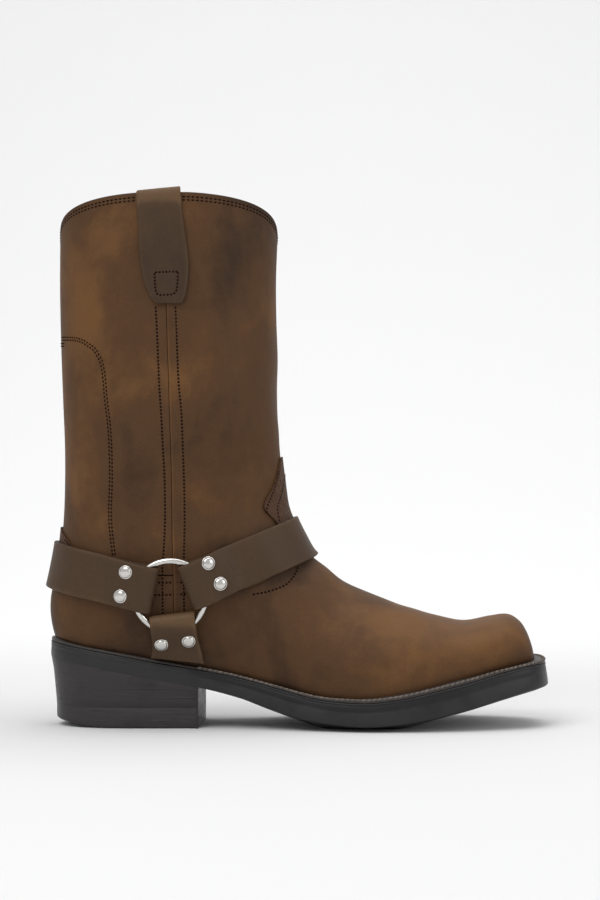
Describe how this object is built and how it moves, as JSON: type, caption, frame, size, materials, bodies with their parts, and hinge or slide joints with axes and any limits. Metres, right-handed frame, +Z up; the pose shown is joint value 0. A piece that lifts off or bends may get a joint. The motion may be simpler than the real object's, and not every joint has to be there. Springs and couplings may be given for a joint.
{
  "type": "harness boot",
  "caption": "Pull-on leather harness boot with a ringed ankle harness, square toe, welted rubber sole and stacked heel.",
  "frame": {"origin": "bottom centre of the bounding box, on the floor", "axes": "+X to the toe, -Y to the outer side of the foot, +Z up"},
  "size_m": [0.3104, 0.1122, 0.3266],
  "materials": {
    "leather": "oiled pull-up leather, mottled brown, satin",
    "strap_leather": "oiled strap leather, dark brown with cut edges",
    "insole": "undyed insole leather, matt",
    "welt": "dark stitched welt",
    "sole": "black rubber, satin",
    "nickel": "nickel plate, worn bright"
  },
  "bodies": {
    "root": {"upper": "leather", "vamp_tab": "leather", "heel_counter": "leather", "insole": "insole", "welt": "welt", "outsole": "sole", "heel_block": "sole", "heel_top_lift": "sole", "rear_strap": "strap_leather", "front_strap": "strap_leather", "lower_strap_outer": "strap_leather", "lower_strap_inner": "strap_leather", "pull_strap_outer": "strap_leather", "pull_strap_inner": "strap_leather", "ring_outer": "nickel", "ring_inner": "nickel", "rivet_rear_outer_a": "nickel", "rivet_rear_outer_b": "nickel", "rivet_rear_inner_a": "nickel", "rivet_rear_inner_b": "nickel", "rivet_front_outer_a": "nickel", "rivet_front_outer_b": "nickel", "rivet_front_inner_a": "nickel", "rivet_front_inner_b": "nickel", "rivet_lower_outer_a": "nickel", "rivet_lower_outer_b": "nickel", "rivet_lower_inner_a": "nickel", "rivet_lower_inner_b": "nickel"}
  },
  "joints": []
}
